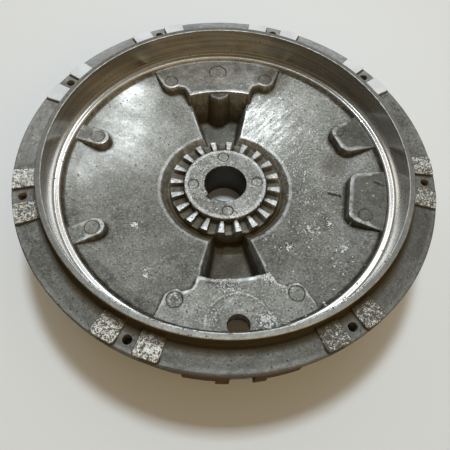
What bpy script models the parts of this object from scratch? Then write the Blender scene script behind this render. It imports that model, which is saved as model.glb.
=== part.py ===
"""Die-cast aluminium engine flywheel with its ignition magnet group, lying dish side up.

The wheel turns about the Z axis. The origin is the middle of the hub's lower face, so Z is the
height above the surface that the hub stands on. Angles are counted from +Y, positive towards -X.
"""
import math

import bmesh
import bpy
from mathutils import Vector

MM = 0.001
FULL_TURN = 2.0 * math.pi
CLEARANCE = 0.3 * MM

# Rim, flange and lip
FLANGE_RADIUS = 102.0 * MM
FLANGE_TOP = 42.0 * MM
FLANGE_THICKNESS = 6.0 * MM
FLANGE_CHAMFER = 0.5 * MM
RIM_RADIUS = 100.3 * MM
RIM_BOTTOM = 12.0 * MM
RIM_DRAFT = 0.8 * MM
LIP_OUTER_RADIUS = 89.8 * MM
LIP_INNER_RADIUS = 87.0 * MM
LIP_TOP = 48.2 * MM
LIP_BASE_FILLET = 1.6 * MM
LEDGE_OUTER_RADIUS = 85.8 * MM
LEDGE_INNER_RADIUS = 83.1 * MM
LEDGE_TOP = 32.4 * MM
LIP_DRAFT = 0.2 * MM
SKIRT_INNER_RADIUS = 88.6 * MM
SKIRT_ROOT_RADIUS = 86.2 * MM
SKIRT_ROOT_HEIGHT = 23.0 * MM

# Dished web: height of its upper face at a few radii, its thickness, and its edge under the ledge
WEB_RISE = [(33.5, 18.9), (50.0, 22.4), (67.0, 25.8), (76.0, 27.9)]
WEB_THICKNESS = 6.0 * MM
WEB_EDGE_HEIGHT = 29.9 * MM
WEB_EDGE_RADIUS = 82.5 * MM
WEB_UNDER_EDGE = (83.2 * MM, 25.0 * MM)

# Hub, its ring of ratchet teeth and the groove around them
BORE_RADIUS = 11.1 * MM
HUB_FACE_RADIUS = 21.8 * MM
HUB_FACE_HEIGHT = 22.1 * MM
HUB_FOOT_RADIUS = 20.0 * MM
HUB_FOOT_DRAFT = 1.5 * MM
HUB_WEB_RADIUS = 30.0 * MM
KEYWAY_WIDTH = 4.76 * MM
KEYWAY_START_RADIUS = 6.7 * MM
KEYWAY_RADIUS = 13.4 * MM
KEYWAY_ANGLE = math.radians(135.0)
TOOTH_COUNT = 20
TOOTH_PHASE = math.radians(10.1)
TOOTH_CREST = 20.4 * MM
TOOTH_VALLEY = 17.6 * MM
TOOTH_OUTER_RADIUS = 29.2 * MM
TOOTH_RING_RADIUS = 29.5 * MM
TOOTH_CREST_ANGLE = math.radians(5.0)
TOOTH_INNER_SHARE = 0.55
TOOTH_RAMP_ANGLE = math.radians(4.6)
TOOTH_STEEP_ANGLE = math.radians(0.8)
GROOVE_FLOOR = 15.8 * MM
GROOVE_OUTER_RADIUS = 31.0 * MM

# Pairs of lugs on the flange, each pair with a tapped hole between its pads
LUG_ANGLES = [math.radians(a) for a in (20.0, 56.0, 100.0, 152.0)]
PAD_INNER_EDGE = math.radians(2.4)
PAD_OUTER_EDGE = math.radians(8.7)
PAD_INNER_RADIUS = 90.9 * MM
PAD_OUTER_RADIUS = 101.4 * MM
PAD_HEIGHT = 1.3 * MM
TAPPED_HOLE_RADIUS = 2.1 * MM
TAPPED_HOLE_CIRCLE = 97.0 * MM
TAPPED_HOLE_DEPTH = 10.0 * MM

# Raised plateaus over the two ends of the troughs
PLATEAU_TOP = 30.6 * MM
PLATEAU_BASE = 21.0 * MM
PLATEAU_FRONT_RADIUS = 57.2 * MM
PLATEAU_FRONT_ANGLE = math.radians(17.3)
PLATEAU_SIDE_ANGLE = math.radians(26.7)
EAR_RADIUS = 5.4 * MM
EAR_CIRCLE = 71.5 * MM
EAR_ANGLE = math.radians(22.5)
EAR_ROUND = (math.radians(112.0), math.radians(222.0))
EAR_STEP = ((64.2 * MM, math.radians(18.2)), (61.2 * MM, math.radians(17.5)))
BALANCE_HOLE_RADIUS = 5.2 * MM
BALANCE_HOLE_CIRCLE = 79.3 * MM
BALANCE_HOLE_FLOOR = 21.5 * MM

# Troughs that run out from the hub, and the post in one of them
TROUGH_FLOOR = 9.0 * MM
TROUGH_INNER_RADIUS = 29.8 * MM
TROUGH_FOOT_RADIUS = 54.4 * MM
TROUGH_FLOOR_ANGLE = math.radians(12.8)
TROUGH_MOUTH_ANGLE = math.radians(19.1)
TROUGH_SHELL_ANGLE = math.radians(16.6)
TROUGH_SHELL = 4.0 * MM
POST_RADIUS = 5.6 * MM
POST_CIRCLE = 58.1 * MM
POST_TOP = 29.3 * MM

# Tabs and bosses that reach in from the ledge
BOSS_TOP = 31.0 * MM
BOSS_BASE = 22.0 * MM
TAB_RADIUS = 5.1 * MM
TAB_TIP_CIRCLE = 70.6 * MM
TAB_ANGLES = (math.radians(68.3), math.radians(113.3))
BOSS_INNER_RADIUS = 65.2 * MM
BOSS_CORNER_RADIUS = 5.0 * MM
BOSS_SPANS = (
    (math.radians(-80.4), math.radians(-64.4)),
    (math.radians(-116.9), math.radians(-91.2)),
)

# Ribs on the underside: bottom and top at their inner and outer ends
RIB_ANGLES = [math.radians(a) for a in (45.0, 90.0, 135.0, -45.0, -90.0, -135.0)]
RIB_THICKNESS = 4.0 * MM
RIB_INNER_END = (6.0 * MM, 12.5 * MM)
RIB_OUTER_END = (15.0 * MM, 27.0 * MM)

# Ignition magnet group, set in the rim opposite the post
MAGNET_ANGLE = math.pi
SHOE_INNER_RADIUS = 93.2 * MM
SHOE_OUTER_RADIUS = 101.2 * MM
SHOE_NEAR_ANGLE = math.radians(3.0)
SHOE_TOE_ANGLE = math.radians(6.3)
SHOE_FAR_ANGLE = math.radians(14.3)
LAMINATION_THICKNESS = 1.3 * MM
LAMINATION_PITCH = 1.6 * MM
WIDE_LAMINATIONS = 7
TOE_LAMINATIONS = 4
STACK_TOP = 34.6 * MM
RIVET_RADIUS = 1.2 * MM
RIVET_HEAD_RADIUS = 2.0 * MM
RIVET_HEAD_HEIGHT = 0.8 * MM
RIVET_HEAD_CROWN = 0.8
RIVET_HEAD_EDGE = 0.4
RIVET_CIRCLE = 97.0 * MM
RIVET_ANGLES = (math.radians(4.65), math.radians(11.2))
MAGNET_INNER_RADIUS = 88.8 * MM
MAGNET_OUTER_RADIUS = 92.6 * MM
MAGNET_HALF_ANGLE = math.radians(9.0)
MAGNET_BOTTOM = 20.0 * MM
MAGNET_TOP = 34.0 * MM
HOUSING_INNER_RADIUS = 84.0 * MM
HOUSING_OUTER_RADIUS = 90.6 * MM
HOUSING_HALF_ANGLE = math.radians(17.5)
HOUSING_BOTTOM = 14.0 * MM
HOUSING_TOP = 27.5 * MM

RIM_SEGMENTS = 72
LARGE_ROUND_SEGMENTS = 24
SMALL_ROUND_SEGMENTS = 12
EAR_SEGMENTS = 8
TAB_SEGMENTS = 10
CORNER_SEGMENTS = 5
OVERLAP = 0.6 * MM
OFFSET = 0.1 * MM


def clear_scene():
    for item in list(bpy.data.objects):
        bpy.data.objects.remove(item, do_unlink=True)


def material(name, colour, metallic, roughness):
    """A plain Principled material."""
    made = bpy.data.materials.new(name)
    made.use_nodes = True
    shader = made.node_tree.nodes["Principled BSDF"]
    shader.inputs["Base Color"].default_value = (*colour, 1.0)
    shader.inputs["Metallic"].default_value = metallic
    shader.inputs["Roughness"].default_value = roughness
    return made


def polar(radius, angle):
    """A point in plan: angle from +Y, positive towards -X."""
    return Vector((-radius * math.sin(angle), radius * math.cos(angle), 0.0))


def add_object(name, bm, surface=None):
    bmesh.ops.recalc_face_normals(bm, faces=bm.faces)
    mesh = bpy.data.meshes.new(name)
    bm.to_mesh(mesh)
    bm.free()
    made = bpy.data.objects.new(name, mesh)
    bpy.context.scene.collection.objects.link(made)
    if surface is not None:
        mesh.materials.append(surface)
    return made


def arc(radius, start, end, steps):
    """Points of a plan arc about the wheel's axis."""
    return [polar(radius, start + (end - start) * i / steps) for i in range(steps + 1)]


def circle(centre, radius, steps):
    return [centre + polar(radius, FULL_TURN * i / steps) for i in range(steps)]


def loft(bm, lower, upper, bottom, top):
    """A closed solid between two plan outlines; top is a height, or gives one for each point."""
    low = [bm.verts.new((p.x, p.y, bottom)) for p in lower]
    high = [bm.verts.new((p.x, p.y, top(p) if callable(top) else top)) for p in upper]
    bm.faces.new(low)
    bm.faces.new(list(reversed(high)))
    count = len(low)
    for i in range(count):
        j = (i + 1) % count
        bm.faces.new((low[j], low[i], high[i], high[j]))


def prism(name, outlines, bottom, top, surface=None):
    """Straight-sided solids, one for each outline."""
    bm = bmesh.new()
    for outline in outlines:
        loft(bm, outline, outline, bottom, top)
    return add_object(name, bm, surface)


def revolve(name, profile, surface):
    """Spins a closed (radius, height) outline about Z."""
    bm = bmesh.new()
    verts = [bm.verts.new((r, 0.0, z)) for r, z in profile]
    edges = [bm.edges.new((verts[i], verts[(i + 1) % len(verts)])) for i in range(len(verts))]
    bmesh.ops.spin(
        bm,
        geom=verts + edges,
        cent=(0.0, 0.0, 0.0),
        axis=(0.0, 0.0, 1.0),
        angle=FULL_TURN,
        steps=RIM_SEGMENTS,
        use_merge=True,
    )
    bmesh.ops.remove_doubles(bm, verts=bm.verts, dist=0.001 * MM)
    return add_object(name, bm, surface)


def combine(target, tool, operation):
    """Adds a Boolean of a helper solid, which is itself left out of the model."""
    tool.hide_render = True
    tool.display_type = "WIRE"
    modifier = target.modifiers.new(tool.name, "BOOLEAN")
    modifier.operation = operation
    modifier.solver = "EXACT"
    modifier.object = tool


def web_profile():
    """Upper face of the web from the groove to the ledge."""
    return [(r * MM, z * MM) for r, z in WEB_RISE]


def under_web_skin(point):
    """A height inside the web's thickness, above the given point in plan."""
    radius = point.length
    skin = WEB_THICKNESS / 3
    (inner, height), *rest = web_profile()
    if radius < inner:
        return GROOVE_FLOOR - skin
    for outer, outer_height in rest:
        if radius < outer:
            share = (radius - inner) / (outer - inner)
            return height + (outer_height - height) * share - skin
        inner, height = outer, outer_height
    return height - skin


def wheel_profile():
    """Half section of the turned shape, from the hub's foot around the outside and back."""
    rim_root = FLANGE_TOP - FLANGE_THICKNESS
    section = [
        (BORE_RADIUS, 0.0),
        (BORE_RADIUS, HUB_FACE_HEIGHT),
        (HUB_FACE_RADIUS, HUB_FACE_HEIGHT),
        (HUB_FACE_RADIUS, TOOTH_VALLEY),
        (TOOTH_RING_RADIUS, TOOTH_VALLEY),
        (TOOTH_RING_RADIUS, GROOVE_FLOOR),
        (GROOVE_OUTER_RADIUS, GROOVE_FLOOR),
    ]
    section += web_profile()
    section += [
        (WEB_EDGE_RADIUS, WEB_EDGE_HEIGHT),
        (LEDGE_INNER_RADIUS, LEDGE_TOP),
        (LEDGE_OUTER_RADIUS, LEDGE_TOP),
        (LIP_INNER_RADIUS, LIP_TOP),
        (LIP_OUTER_RADIUS, LIP_TOP),
        (LIP_OUTER_RADIUS + LIP_DRAFT, FLANGE_TOP + LIP_BASE_FILLET),
        (LIP_OUTER_RADIUS + LIP_BASE_FILLET, FLANGE_TOP),
        (FLANGE_RADIUS - FLANGE_CHAMFER, FLANGE_TOP),
        (FLANGE_RADIUS, FLANGE_TOP - FLANGE_CHAMFER),
        (FLANGE_RADIUS, rim_root + FLANGE_CHAMFER),
        (FLANGE_RADIUS - FLANGE_CHAMFER, rim_root),
        (RIM_RADIUS, rim_root),
        (RIM_RADIUS - RIM_DRAFT, RIM_BOTTOM),
        (SKIRT_INNER_RADIUS, RIM_BOTTOM),
        (SKIRT_ROOT_RADIUS, SKIRT_ROOT_HEIGHT),
        WEB_UNDER_EDGE,
    ]
    section += [(r, z - WEB_THICKNESS) for r, z in reversed(web_profile())]
    section += [
        (HUB_WEB_RADIUS, GROOVE_FLOOR - WEB_THICKNESS),
        (HUB_FOOT_RADIUS + HUB_FOOT_DRAFT, GROOVE_FLOOR - WEB_THICKNESS),
        (HUB_FOOT_RADIUS, 0.0),
    ]
    return section


def sector(inner, outer, start, end, steps):
    """Plan outline of a piece of a ring."""
    return arc(outer, start, end, steps) + arc(inner, end, start, steps)


def tooth_solids():
    """Ratchet teeth on the hub's ring: a steep face one way and a ramp the other."""
    bm = bmesh.new()
    root = TOOTH_VALLEY - OVERLAP
    hub_radius = HUB_FACE_RADIUS - OVERLAP
    for i in range(TOOTH_COUNT):
        middle = TOOTH_PHASE + FULL_TURN * i / TOOTH_COUNT
        half = TOOTH_CREST_ANGLE / 2
        narrow = half * TOOTH_INNER_SHARE
        top = [
            polar(TOOTH_OUTER_RADIUS, middle + half),
            polar(TOOTH_OUTER_RADIUS, middle - half),
            polar(hub_radius, middle - narrow),
            polar(hub_radius, middle + narrow),
        ]
        base = [
            polar(TOOTH_OUTER_RADIUS, middle + half + TOOTH_STEEP_ANGLE),
            polar(TOOTH_OUTER_RADIUS, middle - half - TOOTH_RAMP_ANGLE),
            polar(hub_radius, middle - narrow - TOOTH_RAMP_ANGLE),
            polar(hub_radius, middle + narrow + TOOTH_STEEP_ANGLE),
        ]
        loft(bm, base, top, root, TOOTH_CREST)
    return add_object("tool_teeth", bm)


def pad_outlines():
    outlines = []
    for lug in LUG_ANGLES:
        for side in (-1, 1):
            for hand in (-1, 1):
                middle = side * lug
                start = middle + hand * PAD_INNER_EDGE
                end = middle + hand * PAD_OUTER_EDGE
                outlines.append(sector(PAD_INNER_RADIUS, PAD_OUTER_RADIUS, start, end, 3))
    return outlines


def tapped_hole_outlines():
    centres = [polar(TAPPED_HOLE_CIRCLE, side * lug) for lug in LUG_ANGLES for side in (-1, 1)]
    return [circle(centre, TAPPED_HOLE_RADIUS, SMALL_ROUND_SEGMENTS) for centre in centres]


def ear_points(turn, hand):
    """One ear of a plateau: its straight side, round end and step to the front edge."""
    centre = polar(EAR_CIRCLE, turn + hand * EAR_ANGLE)
    points = [polar(LEDGE_INNER_RADIUS + OVERLAP, turn + hand * PLATEAU_SIDE_ANGLE)]
    first, last = EAR_ROUND
    for i in range(EAR_SEGMENTS + 1):
        heading = first + (last - first) * i / EAR_SEGMENTS
        points.append(centre + polar(EAR_RADIUS, turn + hand * heading))
    for radius, angle in EAR_STEP:
        points.append(polar(radius, turn + hand * angle))
    return points


def plateau_outline(turn):
    left = ear_points(turn, 1)
    right = ear_points(turn, -1)
    front = arc(PLATEAU_FRONT_RADIUS, turn + PLATEAU_FRONT_ANGLE, turn - PLATEAU_FRONT_ANGLE, 10)
    back = arc(
        LEDGE_INNER_RADIUS + OVERLAP,
        turn - PLATEAU_SIDE_ANGLE,
        turn + PLATEAU_SIDE_ANGLE,
        14,
    )
    return left + front + list(reversed(right)) + back[1:-1]


def tab_outline(angle):
    """A round-ended tab that reaches in from the ledge."""
    tip = polar(TAB_TIP_CIRCLE, angle)
    sideways = polar(TAB_RADIUS, angle + math.pi / 2)
    root = polar(LEDGE_INNER_RADIUS + OVERLAP, angle)
    end = []
    for i in range(TAB_SEGMENTS + 1):
        heading = angle + math.pi / 2 + math.pi * i / TAB_SEGMENTS
        end.append(tip + polar(TAB_RADIUS, heading))
    return [root + sideways] + end + [root - sideways]


def boss_outline(start, end):
    """A wide boss with two rounded inner corners."""
    turn = BOSS_CORNER_RADIUS / BOSS_INNER_RADIUS
    corner_circle = BOSS_INNER_RADIUS + BOSS_CORNER_RADIUS
    points = arc(LEDGE_INNER_RADIUS + OVERLAP, start, end, 6)
    for edge, hand in ((end, -1), (start, 1)):
        centre = polar(corner_circle, edge + hand * turn)
        quarter = []
        for i in range(CORNER_SEGMENTS + 1):
            heading = edge - hand * math.pi * (0.5 + 0.5 * i / CORNER_SEGMENTS)
            quarter.append(centre + polar(BOSS_CORNER_RADIUS, heading))
        points += quarter if hand < 0 else list(reversed(quarter))
    return points


def trough_outline(turn, half_angle, outer, growth=0.0):
    """Plan of a trough, or of the shell around it when growth is given."""
    inner = TROUGH_INNER_RADIUS - growth
    widen = growth / (0.5 * (inner + outer))
    half = half_angle + widen
    return sector(inner, outer + growth, turn - half, turn + half, 5)


def trough_solids():
    bm = bmesh.new()
    for turn in (0.0, math.pi):
        lower = trough_outline(turn, TROUGH_FLOOR_ANGLE, TROUGH_FOOT_RADIUS)
        upper = trough_outline(turn, TROUGH_MOUTH_ANGLE, PLATEAU_FRONT_RADIUS)
        loft(bm, lower, upper, TROUGH_FLOOR, PLATEAU_TOP + OVERLAP)
    return add_object("tool_troughs", bm)


def trough_shells():
    bm = bmesh.new()
    bottom = TROUGH_FLOOR - TROUGH_SHELL
    for turn in (0.0, math.pi):
        lower = trough_outline(turn, TROUGH_FLOOR_ANGLE, TROUGH_FOOT_RADIUS, TROUGH_SHELL)
        upper = trough_outline(turn, TROUGH_SHELL_ANGLE, PLATEAU_FRONT_RADIUS, TROUGH_SHELL)
        loft(bm, lower, upper, bottom, under_web_skin)
    return add_object("tool_trough_shells", bm)


def rib_outline(angle):
    along_in = polar(HUB_FOOT_RADIUS - OVERLAP, angle)
    along_out = polar(SKIRT_INNER_RADIUS + OVERLAP, angle)
    sideways = polar(RIB_THICKNESS / 2, angle + math.pi / 2)
    return [along_in + sideways, along_in - sideways, along_out - sideways, along_out + sideways]


def rib_solids():
    """Radial ribs under the web, rising outwards with it."""
    bm = bmesh.new()
    for angle in RIB_ANGLES:
        low = []
        high = []
        ends = (RIB_INNER_END, RIB_INNER_END, RIB_OUTER_END, RIB_OUTER_END)
        for point, (bottom, top) in zip(rib_outline(angle), ends):
            low.append(bm.verts.new((point.x, point.y, bottom)))
            high.append(bm.verts.new((point.x, point.y, top)))
        bm.faces.new(low)
        bm.faces.new(list(reversed(high)))
        for i in range(4):
            j = (i + 1) % 4
            bm.faces.new((low[j], low[i], high[i], high[j]))
    return add_object("tool_ribs", bm)


def shoe_span(hand, near, far):
    start = MAGNET_ANGLE + hand * near
    end = MAGNET_ANGLE + hand * far
    return min(start, end), max(start, end)


def magnet_pocket():
    """Space in the rim for the pole shoes, open to the outside, and for the magnet behind them."""
    gap_angle = CLEARANCE / SHOE_INNER_RADIUS
    toe_bottom = STACK_TOP - LAMINATION_PITCH * (WIDE_LAMINATIONS + TOE_LAMINATIONS)
    wide_bottom = STACK_TOP - LAMINATION_PITCH * WIDE_LAMINATIONS
    head_room = RIVET_HEAD_HEIGHT + 2 * CLEARANCE
    wide_floor = wide_bottom - head_room
    top = STACK_TOP + head_room
    inner = SHOE_INNER_RADIUS - CLEARANCE
    outer = FLANGE_RADIUS + OVERLAP
    tools = []
    for hand in (-1, 1):
        start, end = shoe_span(hand, SHOE_NEAR_ANGLE - gap_angle, SHOE_FAR_ANGLE + gap_angle)
        tools.append((sector(inner, outer, start, end, 5), wide_floor, top))
        near = SHOE_NEAR_ANGLE - gap_angle - OFFSET / SHOE_INNER_RADIUS
        start, end = shoe_span(hand, near, SHOE_TOE_ANGLE + gap_angle)
        toe = sector(inner - OFFSET, outer + OVERLAP, start, end, 3)
        tools.append((toe, toe_bottom - head_room, wide_floor + OVERLAP))
    half = MAGNET_HALF_ANGLE + gap_angle
    behind = sector(
        MAGNET_INNER_RADIUS - CLEARANCE,
        SHOE_INNER_RADIUS + OVERLAP,
        MAGNET_ANGLE - half,
        MAGNET_ANGLE + half,
        7,
    )
    tools.append((behind, MAGNET_BOTTOM - CLEARANCE, MAGNET_TOP + CLEARANCE))
    return [
        prism("tool_magnet_pocket_%d" % i, [outline], bottom, top)
        for i, (outline, bottom, top) in enumerate(tools)
    ]


def keyway_tool():
    sideways = polar(KEYWAY_WIDTH / 2, KEYWAY_ANGLE + math.pi / 2)
    near = polar(KEYWAY_START_RADIUS, KEYWAY_ANGLE)
    far = polar(KEYWAY_RADIUS, KEYWAY_ANGLE)
    outline = [near + sideways, near - sideways, far - sideways, far + sideways]
    return prism("tool_keyway", [outline], -OVERLAP, HUB_FACE_HEIGHT + OVERLAP)


def flywheel_casting(surface):
    casting = revolve("flywheel_casting", wheel_profile(), surface)
    pads_bottom = FLANGE_TOP - OVERLAP
    housing = sector(
        HOUSING_INNER_RADIUS,
        HOUSING_OUTER_RADIUS,
        MAGNET_ANGLE - HOUSING_HALF_ANGLE,
        MAGNET_ANGLE + HOUSING_HALF_ANGLE,
        10,
    )
    plateaus = [plateau_outline(0.0), plateau_outline(math.pi)]
    added = [
        trough_shells(),
        rib_solids(),
        prism("tool_housing", [housing], HOUSING_BOTTOM, HOUSING_TOP),
        prism("tool_plateaus", plateaus, PLATEAU_BASE, PLATEAU_TOP),
        prism("tool_tabs", [tab_outline(a) for a in TAB_ANGLES], BOSS_BASE, BOSS_TOP),
        prism("tool_bosses", [boss_outline(a, b) for a, b in BOSS_SPANS], BOSS_BASE, BOSS_TOP),
        prism("tool_pads", pad_outlines(), pads_bottom, FLANGE_TOP + PAD_HEIGHT),
        tooth_solids(),
    ]
    for tool in added:
        combine(casting, tool, "UNION")
    combine(casting, trough_solids(), "DIFFERENCE")
    post = circle(polar(POST_CIRCLE, 0.0), POST_RADIUS, LARGE_ROUND_SEGMENTS)
    combine(casting, prism("tool_post", [post], TROUGH_FLOOR - OVERLAP, POST_TOP), "UNION")
    hole_centre = polar(BALANCE_HOLE_CIRCLE, math.pi)
    hole = circle(hole_centre, BALANCE_HOLE_RADIUS, LARGE_ROUND_SEGMENTS)
    holes = prism("tool_balance_hole", [hole], BALANCE_HOLE_FLOOR, LEDGE_TOP + OVERLAP)
    combine(casting, holes, "DIFFERENCE")
    tapped = prism(
        "tool_tapped_holes",
        tapped_hole_outlines(),
        FLANGE_TOP - TAPPED_HOLE_DEPTH,
        FLANGE_TOP + PAD_HEIGHT,
    )
    combine(casting, tapped, "DIFFERENCE")
    combine(casting, keyway_tool(), "DIFFERENCE")
    for tool in magnet_pocket():
        combine(casting, tool, "DIFFERENCE")
    return casting


def lamination(name, hand, far_angle, top, rivet_angles, surface):
    """One sheet of a pole shoe, with the holes that its rivets pass through."""
    start, end = shoe_span(hand, SHOE_NEAR_ANGLE, far_angle)
    outline = sector(SHOE_INNER_RADIUS, SHOE_OUTER_RADIUS, start, end, 4)
    sheet = prism(name, [outline], top - LAMINATION_THICKNESS, top, surface)
    holes = []
    for angle in rivet_angles:
        centre = polar(RIVET_CIRCLE, MAGNET_ANGLE + hand * angle)
        holes.append(circle(centre, RIVET_RADIUS + CLEARANCE, SMALL_ROUND_SEGMENTS))
    tool = prism("tool_" + name, holes, top - 2 * LAMINATION_THICKNESS, top + LAMINATION_THICKNESS)
    combine(sheet, tool, "DIFFERENCE")
    return sheet


def pole_shoe(side, hand, surface):
    """A stack of sheets: wide ones above, and short ones that make the toe beside the gap."""
    for i in range(WIDE_LAMINATIONS + TOE_LAMINATIONS):
        wide = i < WIDE_LAMINATIONS
        far_angle = SHOE_FAR_ANGLE if wide else SHOE_TOE_ANGLE
        angles = RIVET_ANGLES if wide else RIVET_ANGLES[:1]
        name = "%s_lamination_%02d" % (side, i + 1)
        lamination(name, hand, far_angle, STACK_TOP - LAMINATION_PITCH * i, angles, surface)


def rivet(name, hand, angle, sheets, surface):
    """A rivet with a head at each end of its stack of sheets."""
    centre = polar(RIVET_CIRCLE, MAGNET_ANGLE + hand * angle)
    top = STACK_TOP + CLEARANCE
    bottom = STACK_TOP - LAMINATION_PITCH * (sheets - 1) - LAMINATION_THICKNESS - CLEARANCE
    section = (
        (RIVET_HEAD_RADIUS * RIVET_HEAD_CROWN, bottom - RIVET_HEAD_HEIGHT),
        (RIVET_HEAD_RADIUS, bottom - RIVET_HEAD_HEIGHT * RIVET_HEAD_EDGE),
        (RIVET_HEAD_RADIUS, bottom),
        (RIVET_RADIUS, bottom),
        (RIVET_RADIUS, top),
        (RIVET_HEAD_RADIUS, top),
        (RIVET_HEAD_RADIUS, top + RIVET_HEAD_HEIGHT * RIVET_HEAD_EDGE),
        (RIVET_HEAD_RADIUS * RIVET_HEAD_CROWN, top + RIVET_HEAD_HEIGHT),
    )
    bm = bmesh.new()
    rings = []
    for radius, height in section:
        points = circle(centre, radius, SMALL_ROUND_SEGMENTS)
        rings.append([bm.verts.new((p.x, p.y, height)) for p in points])
    bm.faces.new(rings[0])
    bm.faces.new(list(reversed(rings[-1])))
    for lower, upper in zip(rings, rings[1:]):
        for i in range(SMALL_ROUND_SEGMENTS):
            j = (i + 1) % SMALL_ROUND_SEGMENTS
            bm.faces.new((lower[j], lower[i], upper[i], upper[j]))
    return add_object(name, bm, surface)


def magnet_group(steel, magnet_surface, rivet_surface):
    for side, hand in (("left_shoe", -1), ("right_shoe", 1)):
        pole_shoe(side, hand, steel)
        all_sheets = WIDE_LAMINATIONS + TOE_LAMINATIONS
        rivet(side + "_rivet_near", hand, RIVET_ANGLES[0], all_sheets, rivet_surface)
        rivet(side + "_rivet_far", hand, RIVET_ANGLES[1], WIDE_LAMINATIONS, rivet_surface)
    block = sector(
        MAGNET_INNER_RADIUS,
        MAGNET_OUTER_RADIUS,
        MAGNET_ANGLE - MAGNET_HALF_ANGLE,
        MAGNET_ANGLE + MAGNET_HALF_ANGLE,
        6,
    )
    prism("ignition_magnet", [block], MAGNET_BOTTOM, MAGNET_TOP, magnet_surface)


def main():
    clear_scene()
    flywheel_casting(material("cast_aluminium", (0.42, 0.42, 0.41), 0.9, 0.42))
    magnet_group(
        material("lamination_steel", (0.10, 0.075, 0.05), 0.8, 0.55),
        material("magnet_alloy", (0.12, 0.12, 0.13), 0.6, 0.5),
        material("rivet_steel", (0.30, 0.28, 0.26), 0.9, 0.4),
    )


main()
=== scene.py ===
"""Looks of the flywheel: a finely modelled casting in place of the CAD one, materials, floor,
light and camera."""

import math
from types import SimpleNamespace

import bmesh
import bpy
import numpy as np
from mathutils import Matrix, Vector


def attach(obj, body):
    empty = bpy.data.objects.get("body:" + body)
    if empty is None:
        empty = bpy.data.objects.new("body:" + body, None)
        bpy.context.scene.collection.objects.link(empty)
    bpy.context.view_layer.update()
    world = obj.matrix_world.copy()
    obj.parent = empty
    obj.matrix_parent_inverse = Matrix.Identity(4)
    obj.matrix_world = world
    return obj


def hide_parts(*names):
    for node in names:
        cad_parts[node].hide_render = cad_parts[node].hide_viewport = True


MM = 0.001
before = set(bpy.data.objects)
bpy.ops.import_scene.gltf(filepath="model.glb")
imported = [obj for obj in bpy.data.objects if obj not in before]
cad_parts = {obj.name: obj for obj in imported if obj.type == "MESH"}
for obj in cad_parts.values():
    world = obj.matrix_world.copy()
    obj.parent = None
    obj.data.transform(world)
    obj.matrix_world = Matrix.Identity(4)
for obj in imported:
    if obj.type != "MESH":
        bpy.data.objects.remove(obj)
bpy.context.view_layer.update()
scene = bpy.context.scene

# ---- the casting's measures, in mm and degrees
COLUMNS = 1080
BORE_RADIUS = 11.1
HUB_RADIUS = 21.8
HUB_TOP = 22.1
KEYWAY_TURN = 135.0
KEYWAY_HALF_WIDTH = 2.38
KEYWAY_RADIUS = 13.4
TEETH = 20
TEETH_PHASE = 10.1
TOOTH_HALF_TURN = 3.3
TOOTH_VALLEY = 17.6
TOOTH_CREST = 20.4
TEETH_RADIUS = 29.4
GROOVE_FLOOR = 15.8
LEDGE_TOP = 32.4
LIP_RADIUS = 87.0
LIP_TOP = 48.2
FLANGE_RADIUS = 102.0
FLANGE_TOP = 42.0
FLANGE_BOTTOM = 36.0
SKIRT_BOTTOM = 12.0
SKIRT_INNER_RADIUS = 88.6
# raised features of the web run under the ledge to this radius
UNDER_LEDGE = 85.0
PLATEAU_TURNS = (0.0, 180.0)
PLATEAU_TOP = 30.6
PLATEAU_HALF_TURN = 26.7
PLATEAU_FRONT = (57.2, 17.3)
EAR_CIRCLE = 71.5
EAR_TURN = 22.5
EAR_RADIUS = 5.4
BOSS_TOP = 31.0
BOSS_SPANS = ((-80.4, -64.4), (-116.9, -91.2))
BOSS_INNER_RADIUS = 64.9
BOSS_CORNER = 5.6
TAB_TURNS = (68.3, 113.3)
TAB_CIRCLE = 70.6
TAB_RADIUS = 5.1
TROUGH_FLOOR = 9.0
TROUGH_HALF_TURN = 12.8
TROUGH_SIDE_SLOPE = 4.1
TROUGH_SHELL = 4.0
POST_AT = (58.1, 0.0)
POST_RADIUS = 5.6
POST_TOP = 29.3
RIB_TURNS = (45.0, 90.0, 135.0, -45.0, -90.0, -135.0)
LUGS = (20.0, 56.0, 100.0, 152.0)
HOLE_CIRCLE = 97.0
HOLE_RADIUS = 2.1
BALANCE_HOLE = (79.3, 180.0)
BALANCE_HOLE_RADIUS = 5.2
PAD_TOP = 43.3
PAD_OFFSET = 5.55
PAD_HALF_TURN = 3.15
PAD_INNER_RADIUS = 89.0
PAD_OUTER_RADIUS = 101.55
PAD_CORNER = 1.2
MAGNET_TURN = 180.0
HOUSING_HALF_TURN = 17.5
HOUSING_INNER_RADIUS = 84.0
HOUSING_BOTTOM = 14.0
MAGNET_HALF_TURN = 9.0
SHOE_NEAR_TURN = 3.0
SHOE_TOE_TURN = 6.3
SHOE_FAR_TURN = 14.3
# room left between the casting and the magnet or the shoes, as an angle at the shoes' radius
SHOE_GAP_TURN = 0.3 / 93.2 * 57.3
# ejector marks: radius of the circle they sit on, turn, own radius, depth
EJECTOR_MARKS = (
    [(17.0, turn, 2.8, 0.22) for turn in (0.0, 90.0, 180.0, 270.0)]
    + [(EAR_CIRCLE, turn, 3.7, 0.25) for turn in (-22.5, 22.5, 157.5, 202.5)]
    + [(71.6, turn, 3.6, 0.22) for turn in TAB_TURNS]
    + [(68.0, -68.0, 3.4, 0.10), (72.6, -112.3, 3.4, 0.10), (73.0, 0.0, 5.0, 0.42)]
)
# flange pads: turn of the middle, share of the pad that is white
PAD_WHITES = [(s * lug + t, 1.0) for lug in LUGS[:2] for s in (1, -1) for t in (-PAD_OFFSET, PAD_OFFSET)]
PAD_WHITES += [(94.45, 0.53), (105.55, 0.45), (146.45, 0.50), (157.55, 0.50)]
PAD_WHITES += [(-94.45, 0.43), (-105.55, 0.39), (-146.45, 0.37), (-157.55, 0.36)]
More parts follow.
